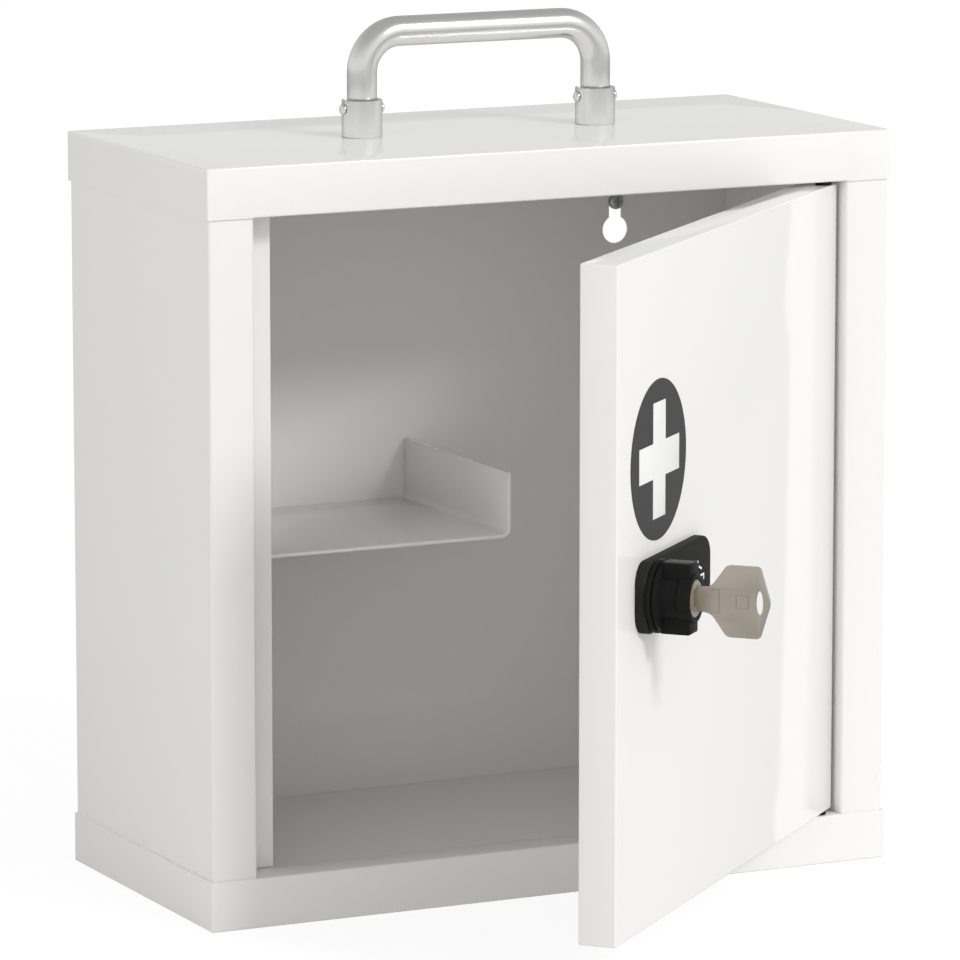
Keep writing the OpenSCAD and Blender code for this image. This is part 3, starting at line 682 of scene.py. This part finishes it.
def make_ferrules():
    """Ferrules: turned cups, slotted at the rear where the handle folds through."""
    low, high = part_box("handle_ferrule_left")
    radius, height = (high.x - low.x) / 2, high.z - low.z
    bore, foot, rim = radius - 1.2 * MM, 4.2 * MM, 0.3 * MM
    slot_half, slot_z = 6.3 * MM, 5 * MM
    cup = turned("ferrule_cup_left", [
        (0, 0), (radius - rim, 0), (radius, rim), (radius, height - rim), (radius - rim, height),
        (bore + rim, height), (bore, height - rim), (bore, foot), (0, foot)], steps=64)
    slot = block("slot", (-slot_half, 0, slot_z), (slot_half, 2 * radius, 2 * height))
    combine(cup, slot, "DIFFERENCE")
    soften(cup, 0.12 * MM, segments=2, angle=50)
    twin = copied(cup, "ferrule_cup_right")
    for piece, name in ((cup, "handle_ferrule_left"), (twin, "handle_ferrule_right")):
        low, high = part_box(name)
        settle(piece, Matrix.Translation(((low.x + high.x) / 2, 0, low.z)))
        hand_over(piece, name)


def make_handle_pins():
    """Pins through the ferrules, riveted over to a dome at each end."""
    low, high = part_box("handle_pin_left")
    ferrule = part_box("handle_ferrule_left")
    half = (ferrule[1].x - ferrule[0].x) / 2
    head_r, head_h = (high.z - low.z) / 2, (high.x - low.x) / 2 - half
    shank_r = 1.5 * MM
    dome = [(head_r * math.sin(t), half + 0.25 * head_h + 0.75 * head_h * math.cos(t))
            for t in (math.radians(a) for a in (0, 18, 36, 54, 72, 90))]
    upper = dome + [(head_r, half), (shank_r, half)]
    profile = upper + [(r, -z) for r, z in reversed(upper)]
    pin = turned("handle_rivet_left", profile, steps=32)
    twin = copied(pin, "handle_rivet_right")
    for piece, name in ((pin, "handle_pin_left"), (twin, "handle_pin_right")):
        low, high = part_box(name)
        settle(piece, Matrix.Translation((low + high) / 2) @ CROSSWISE)
        hand_over(piece, name)


# ---------- door ----------

def make_door():
    """Door pan: skin, four edges and a narrow return, all folded with a small radius."""
    low, high = box_in("door_pan", DOOR)
    lip, barrel_r, bush_r = 3.5 * MM, 9 * MM, 2.6 * MM
    piece = block("door_skin", low, high)
    with editing(piece):
        pick(piece, "FACE", lambda face: facing(face, Y))
        bpy.ops.mesh.inset(thickness=lip, depth=0)
        bpy.ops.mesh.delete(type="FACE")
        pick(piece, "EDGE", is_fold)
        bpy.ops.mesh.bevel(offset=DOOR_FOLD, segments=5, affect="EDGES")
    thicken(piece, SHEET)
    lock = Matrix.Translation(DOOR.inverted() @ LOCK_POINT) @ REARWARD
    combine(piece, settle(rod("lock_hole", barrel_r, -MM, 2 * MM), lock), "DIFFERENCE")
    for bush in ("hinge_bush_bottom", "hinge_bush_top"):
        bush_low, bush_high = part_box(bush)
        tool = rod("bush_hole", bush_r, bush_low.z, bush_high.z)
        combine(piece, settle(tool, Matrix.Translation((PIVOT.x, PIVOT.y, 0))), "DIFFERENCE")
    settle(piece, DOOR)
    hand_over(piece, "door_pan")


def make_emblem():
    """Emblem: a round film and the cross on it."""
    low, high = box_in("emblem_disc", DOOR)
    centre = (low + high) / 2
    thickness = high.y - low.y
    place = DOOR @ (Matrix.Translation((centre.x, high.y, centre.z)) @ FORWARD)
    radius = (high.x - low.x) / 2
    edge = 0.08 * MM
    disc = turned("emblem_film", [(0, 0), (radius, 0), (radius, thickness - edge),
                                  (radius - edge, thickness), (0, thickness)], steps=128)
    settle(disc, place)
    hand_over(disc, "emblem_disc")
    low, high = box_in("emblem_cross", DOOR)
    arm, bar = (high.x - low.x) / 2, 6.75 * MM
    cross = block("emblem_cross_film", (-bar, -bar, thickness), (bar, bar, thickness + high.y - low.y))
    with editing(cross):
        for axis in (X, -X, Y, -Y):
            pick(cross, "FACE", lambda face: facing(face, axis)
                 and (face.calc_center_median() * Vector((1, 1, 0)) - axis * bar).length < NEAR)
            pull(axis * (arm - bar))
    soften(cross, 0.06 * MM, segments=2)
    settle(cross, place)
    hand_over(cross, "emblem_cross")


# ---------- lock ----------

def make_lock_plate():
    """Escutcheon: a thick plate with round corners and a bevelled front."""
    low, high = box_in("lock_plate", LOCK)
    corner_r, front_bevel = 8.5 * MM, 1.0 * MM
    piece = block("lock_escutcheon", low, high)
    with editing(piece):
        pick(piece, "EDGE", lambda edge: along(edge, Z))
        bpy.ops.mesh.bevel(offset=corner_r, segments=12, affect="EDGES")
        pick(piece, "FACE", lambda face: facing(face, Z))
        bpy.ops.mesh.bevel(offset=front_bevel, segments=3, affect="EDGES")
    settle(piece, LOCK)
    hand_over(piece, "lock_plate", finish=MATT_BLACK)


def make_lock_marks():
    """Printed marks on an arc about the lock's axis: a dot, a dash and a hook."""
    low, high = box_in("lock_marks", LOCK)
    stroke, dash_len, hook_len, hook_drop = 0.85 * MM, 3.4 * MM, 3.2 * MM, 1.6 * MM
    dot_r, dash_turn = 0.55 * MM, Matrix.Rotation(math.radians(-22), 4, "Z")
    dot_place, dash_place, hook_place = (Matrix.Translation((x * MM, y * MM, 0))
                                         for x, y in ((46, 4.9), (48.8, 2.3), (52.3, -0.8)))
    marks = rod("lock_print", dot_r, low.z, high.z, steps=24)
    settle(marks, dot_place)
    dash = block("dash", (-dash_len / 2, -stroke / 2, low.z), (dash_len / 2, stroke / 2, high.z))
    settle(dash, dash_place @ dash_turn)
    hook = block("hook", (-hook_len, -stroke / 2, low.z), (0, stroke / 2, high.z))
    with editing(hook):
        pick(hook, "FACE", lambda face: facing(face, X))
        pull((stroke, 0, 0))
        pick(hook, "FACE", lambda face: facing(face, -Y) and face.calc_center_median().x > 0)
        pull((0, -hook_drop, 0))
    settle(hook, hook_place)
    joined(marks, dash, hook)
    soften(marks, 0.04 * MM, segments=1)
    settle(marks, LOCK)
    hand_over(marks, "lock_marks")


def make_lock_ring():
    """Ring that the knob turns on, with a groove near its foot."""
    low, high = box_in("lock_ring", LOCK)
    radius, bore = (high.x - low.x) / 2, 9.2 * MM
    bevel, groove = 0.5 * MM, 0.35 * MM
    piece = turned("lock_collar", [
        (bore, low.z), (radius - groove, low.z), (radius - groove, low.z + groove),
        (radius, low.z + 2 * groove), (radius, high.z - bevel),
        (radius - 0.3 * bevel, high.z - 0.3 * bevel), (radius - bevel, high.z), (bore, high.z)],
        steps=72, ring=True)
    settle(piece, LOCK)
    hand_over(piece, "lock_ring")


def make_knob():
    """Wing knob: turned base, body and mouth, with a softly rounded wing across it."""
    low, high = box_in("knob", LOCK)
    base_r, body_r, mouth_r = 13 * MM, 8.7 * MM, 9.3 * MM
    base_top, mouth_z = low.z + 1.7 * MM, high.z - 5.5 * MM
    foot, fillet, play = 0.3 * MM, 0.5 * MM, 0.05 * MM
    core = turned("lock_knob_grip", [
        (0, low.z), (base_r - foot, low.z), (base_r, low.z + foot), (base_r, base_top - fillet),
        (base_r - 0.3 * fillet, base_top - 0.3 * fillet), (base_r - fillet, base_top),
        (body_r + fillet, base_top), (body_r + 0.3 * fillet, base_top + 0.3 * fillet),
        (body_r, base_top + fillet), (body_r, mouth_z), (mouth_r, mouth_z + (mouth_r - body_r)),
        (mouth_r, high.z - fillet), (mouth_r - 0.3 * fillet, high.z - 0.3 * fillet),
        (mouth_r - fillet, high.z), (0, high.z)], steps=72)
    wing_h, wing_t, wing_top = high.y - low.y, 9 * MM, high.z - 1 * MM
    wing = block("wing", (-wing_t / 2, -wing_h / 2, low.z + 0.8 * MM), (wing_t / 2, wing_h / 2, wing_top))
    with editing(wing):
        pick(wing, "EDGE", lambda edge: along(edge, X) and middle(edge).z > wing_top - MM)
        bpy.ops.mesh.bevel(offset=0.9 * MM, segments=5, affect="EDGES")
    soften(wing, 0.45 * MM, segments=3, angle=45)
    combine(core, wing, "UNION")
    plug = box_in("key_cylinder", LOCK)
    bore = rod("plug_bore", (plug[1].x - plug[0].x) / 2 + play, low.z + 1.5 * MM, high.z + MM, steps=72)
    combine(core, bore, "DIFFERENCE")
    settle(core, LOCK)
    hand_over(core, "knob", smooth=38)


def make_key_cylinder():
    """Key cylinder: its face with a fine bevel, the shank behind it and the keyway."""
    low, high = box_in("key_cylinder", LOCK)
    radius, shank_r, bevel = (high.x - low.x) / 2, 3.55 * MM, 0.3 * MM
    head_z = high.z - 8.5 * MM
    way_w, way_h, way_len = 1.9 * MM, 6.3 * MM, 20.3 * MM
    piece = turned("lock_core", [
        (0, low.z), (shank_r, low.z), (shank_r, head_z), (radius, head_z), (radius, high.z - bevel),
        (radius - bevel, high.z), (0, high.z)], steps=72)
    way = block("keyway", (-way_w / 2, -way_h / 2, high.z - way_len),
                (way_w / 2, way_h / 2, high.z + MM))
    combine(piece, way, "DIFFERENCE")
    pocket_w, pocket_h, pocket_depth = 4.6 * MM, 9.8 * MM, 0.5 * MM
    pocket = block("pocket", (-pocket_w / 2, -pocket_h / 2, high.z - pocket_depth),
                   (pocket_w / 2, pocket_h / 2, high.z + MM))
    combine(piece, pocket, "DIFFERENCE")
    settle(piece, LOCK)
    hand_over(piece, "key_cylinder")


def make_key():
    """Key: a six-sided bow with an oval hole, a stamped square and a toothed blade."""
    low, high = box_in("key", LOCK)
    thickness, tip = high.x - low.x, high.z
    shoulder = box_in("key_cylinder", LOCK)[1].z + 0.3 * MM
    shank, bow, blade = 4.8 * MM, (high.y - low.y) / 2, 3 * MM
    length = tip - shoulder         # neck and bow stand at shares of it
    neck = (shoulder + 0.19 * length, shank)
    bow_front = (shoulder + 0.41 * length, bow)
    bow_back = (shoulder + 0.857 * length, bow)
    tooth_pitch, tooth_depth, teeth = 2.8 * MM, 0.9 * MM, 6
    upper = [(low.z, 0.4 * blade), (low.z + 1.4 * MM, blade)]
    for i in range(teeth):
        z = low.z + 2.2 * MM + i * tooth_pitch
        deep = tooth_depth if i % 2 else 0.5 * tooth_depth
        upper += [(z, blade), (z + 0.3 * tooth_pitch, blade - deep),
                  (z + 0.6 * tooth_pitch, blade - deep), (z + 0.9 * tooth_pitch, blade)]
    upper += [(shoulder, blade), (shoulder, shank), neck, bow_front, bow_back]
    outline = upper + [(tip, 0)] + [(z, -y) for z, y in reversed(upper)]
    piece = flat_piece("key_blank", outline, thickness)
    for place, offset in ((neck, 2.4 * MM), (bow_front, 1.5 * MM), (bow_back, 1.3 * MM),
                          ((tip, 0), 1.6 * MM)):
        round_corner(piece, place, offset)
    hole_w, hole_h = 2.9 * MM, 9.2 * MM
    hole = flat_piece("hole", arc((0, 0), hole_w / 2, 0, 348, 29), 4 * thickness)
    oval = Matrix.Diagonal((1, hole_h / hole_w, 1, 1))
    settle(hole, Matrix.Translation((tip - 1.5 * hole_w, 0, -thickness)) @ oval)
    combine(piece, hole, "DIFFERENCE")
    soften(piece, 0.22 * MM, segments=2, angle=50)
    line, depth = 0.4 * MM, 0.25 * MM
    square_z, square = shoulder + 18 * MM, 2.4 * MM
    step_z, step_y = shoulder + 8.9 * MM, 4.5 * MM
    stamped = [((square_z - square, y), (square_z + square, y + line)) for y in (-square, square)]
    stamped += [((z, -square), (z + line, square + line)) for z in (square_z - square, square_z + square)]
    stamped += [((step_z, -step_y), (step_z + line, step_y))]
    stamped += [((step_z - 3 * MM, y), (step_z, y + line)) for y in (-step_y, step_y - line)]
    for a, b in stamped:
        for floor in (-MM, thickness - depth):
            tool = block("stamp", (*a, floor), (*b, floor + MM + depth))
            combine(piece, tool, "DIFFERENCE")
    upright = Matrix(((0, 0, 1, -thickness / 2), (0, 1, 0, 0), (1, 0, 0, 0), (0, 0, 0, 1)))
    settle(piece, LOCK @ upright)
    with editing(piece):
        face_out()
    hand_over(piece, "key", smooth=30)


def make_lock_nut():
    """Hexagonal nut behind the door, with its corners turned off."""
    low, high = box_in("lock_nut", LOCK)
    corner_r, flat_r, bore_r = (high.x - low.x) / 2, (high.y - low.y) / 2, 9 * MM
    chamfer = corner_r - flat_r
    piece = start("cylinder", "lock_hex_nut", radius=corner_r, depth=high.z - low.z, vertices=6,
                  location=(0, 0, (low.z + high.z) / 2), rotation=(0, 0, math.pi / 2))
    blank = turned("blank", [(0, low.z), (flat_r, low.z), (corner_r, low.z + 0.5 * chamfer),
                             (corner_r, high.z), (0, high.z)], steps=72)
    combine(piece, blank, "INTERSECT")
    combine(piece, rod("bore", bore_r, low.z - MM, high.z + MM), "DIFFERENCE")
    settle(piece, LOCK)
    hand_over(piece, "lock_nut")


def make_cam_screw():
    """Screw with a cross recess that holds the cam on the spindle."""
    low, high = box_in("cam_screw", LOCK)
    head_h, thread_r, pitch = 2.4 * MM, 2 * MM, 0.7 * MM
    piece = turned_screw("cam_pan_screw", (high.x - low.x) / 2, head_h, thread_r, 0, thread_r,
                         high.z - low.z - head_h, 0, pitch)
    settle(piece, LOCK @ Matrix.Translation((0, 0, low.z + head_h)))
    hand_over(piece, "cam_screw")


# ---------- studio ----------

def make_floor():
    """Pale floor: plain to the light, near white to the eye, and it keeps the shadow."""
    ground, ground_seen = (0.94, 0.94, 0.93, 1), (0.20, 0.20, 0.20, 1)
    glow_seen, glow_mirrored = 0.86, 0.31
    floor = start("plane", "studio_floor", size=14)
    material = bpy.data.materials.new("studio_floor")
    material.use_nodes = True
    tree = material.node_tree
    link = tree.links.new
    tree.nodes.remove(tree.nodes["Principled BSDF"])
    out = tree.nodes["Material Output"]
    plain = node(tree, "ShaderNodeBsdfDiffuse")
    plain.inputs["Color"].default_value = ground
    shadowed = node(tree, "ShaderNodeBsdfDiffuse")
    shadowed.inputs["Color"].default_value = ground_seen
    glow = node(tree, "ShaderNodeEmission")
    strength = node(tree, "ShaderNodeMapRange")
    strength.inputs["To Min"].default_value = glow_seen
    strength.inputs["To Max"].default_value = glow_mirrored
    path = node(tree, "ShaderNodeLightPath")
    link(path.outputs["Is Glossy Ray"], strength.inputs["Value"])
    link(strength.outputs[0], glow.inputs["Strength"])
    seen = node(tree, "ShaderNodeAddShader")
    link(shadowed.outputs[0], seen.inputs[0])
    link(glow.outputs[0], seen.inputs[1])
    mix = node(tree, "ShaderNodeMixShader")
    link(seen_by_eye(tree), mix.inputs["Fac"])
    link(plain.outputs[0], mix.inputs[1])
    link(seen.outputs[0], mix.inputs[2])
    link(mix.outputs[0], out.inputs["Surface"])
    floor.data.materials.append(material)


def seen_by_eye(tree):
    """1 for camera, glossy and transmission rays, and 0 for the light that falls on things."""
    path = node(tree, "ShaderNodeLightPath")
    first = node(tree, "ShaderNodeMath", operation="MAXIMUM")
    tree.links.new(path.outputs["Is Camera Ray"], first.inputs[0])
    tree.links.new(path.outputs["Is Glossy Ray"], first.inputs[1])
    second = node(tree, "ShaderNodeMath", operation="MAXIMUM")
    tree.links.new(first.outputs[0], second.inputs[0])
    tree.links.new(path.outputs["Is Transmission Ray"], second.inputs[1])
    return second.outputs[0]


def make_world():
    """Soft light that is brighter at the horizon than overhead, with a white backdrop."""
    horizon, zenith, front_fill, left_fill = 0.80, 0.45, 0.19, 0.18
    mirrored_horizon, mirrored_zenith = 0.78, 0.42
    world = bpy.data.worlds.new("studio")
    bpy.context.scene.world = world
    world.use_nodes = True
    tree = world.node_tree
    link = tree.links.new
    background = tree.nodes["Background"]
    sight = node(tree, "ShaderNodeTexCoord")
    parts = node(tree, "ShaderNodeSeparateXYZ")
    link(sight.outputs["Generated"], parts.inputs[0])
    height = node(tree, "ShaderNodeMapRange", clamp=True)
    height.inputs["To Min"].default_value = horizon
    height.inputs["To Max"].default_value = zenith
    link(parts.outputs["Z"], height.inputs["Value"])
    light = height
    for axis, amount in (("Y", front_fill), ("X", left_fill)):
        fill = node(tree, "ShaderNodeMapRange", clamp=True)
        fill.inputs["From Max"].default_value = -1
        fill.inputs["To Max"].default_value = amount
        link(parts.outputs[axis], fill.inputs["Value"])
        total = node(tree, "ShaderNodeMath", operation="ADD")
        link(light.outputs[0], total.inputs[0])
        link(fill.outputs[0], total.inputs[1])
        light = total
    mirrored = node(tree, "ShaderNodeMapRange", clamp=True, interpolation_type="SMOOTHSTEP")
    mirrored.inputs["From Min"].default_value = 0.05
    mirrored.inputs["From Max"].default_value = 0.85
    mirrored.inputs["To Min"].default_value = mirrored_horizon
    mirrored.inputs["To Max"].default_value = mirrored_zenith
    link(parts.outputs["Z"], mirrored.inputs["Value"])
    path = node(tree, "ShaderNodeLightPath")
    backdrop = node(tree, "ShaderNodeMix", data_type="FLOAT")
    link(path.outputs["Is Glossy Ray"], backdrop.inputs[0])
    backdrop.inputs[2].default_value = 1.0
    link(mirrored.outputs[0], backdrop.inputs[3])
    strength = node(tree, "ShaderNodeMix", data_type="FLOAT")
    link(seen_by_eye(tree), strength.inputs[0])
    link(light.outputs[0], strength.inputs[2])
    link(backdrop.outputs[0], strength.inputs[3])
    link(strength.outputs[0], background.inputs["Strength"])
    background.inputs["Color"].default_value = (1, 1, 1, 1)


def make_key_light():
    """One large soft lamp from the front right."""
    azimuth, elevation = math.radians(28), math.radians(33)
    lamp = bpy.data.lights.new("key_light", "SUN")
    lamp.energy = 1.25
    lamp.angle = math.radians(13)
    piece = bpy.data.objects.new("key_light", lamp)
    bpy.context.scene.collection.objects.link(piece)
    towards = Vector((math.sin(azimuth) * math.cos(elevation),
                      -math.cos(azimuth) * math.cos(elevation), math.sin(elevation)))
    piece.rotation_euler = (-towards).to_track_quat("-Z", "Y").to_euler()


def make_camera():
    """Camera at the height and turn that show the front, the left side and the top."""
    place = Vector((-1.1456, -2.3524, 0.60925))
    yaw, pitch, lens = math.radians(25.97), math.radians(9.80), 245.7
    forward = Vector((math.sin(yaw) * math.cos(pitch), math.cos(yaw) * math.cos(pitch), -math.sin(pitch)))
    data = bpy.data.cameras.new("camera")
    data.lens = lens
    data.sensor_width = 36
    camera = bpy.data.objects.new("camera", data)
    bpy.context.scene.collection.objects.link(camera)
    camera.location = place
    camera.rotation_euler = forward.to_track_quat("-Z", "Y").to_euler()
    bpy.context.scene.camera = camera


bpy.context.scene.view_settings.view_transform = "Standard"
make_camera()
make_key_light()
make_world()
make_floor()
dress_cad()
make_caps()
make_back_panel()
make_side_panels()
make_shelf()
make_wall_screws()
make_handle_tube()
make_ferrules()
make_handle_pins()
make_door()
make_emblem()
make_lock_plate()
make_lock_marks()
make_lock_ring()
make_knob()
make_key_cylinder()
make_key()
make_lock_nut()
make_cam_screw()
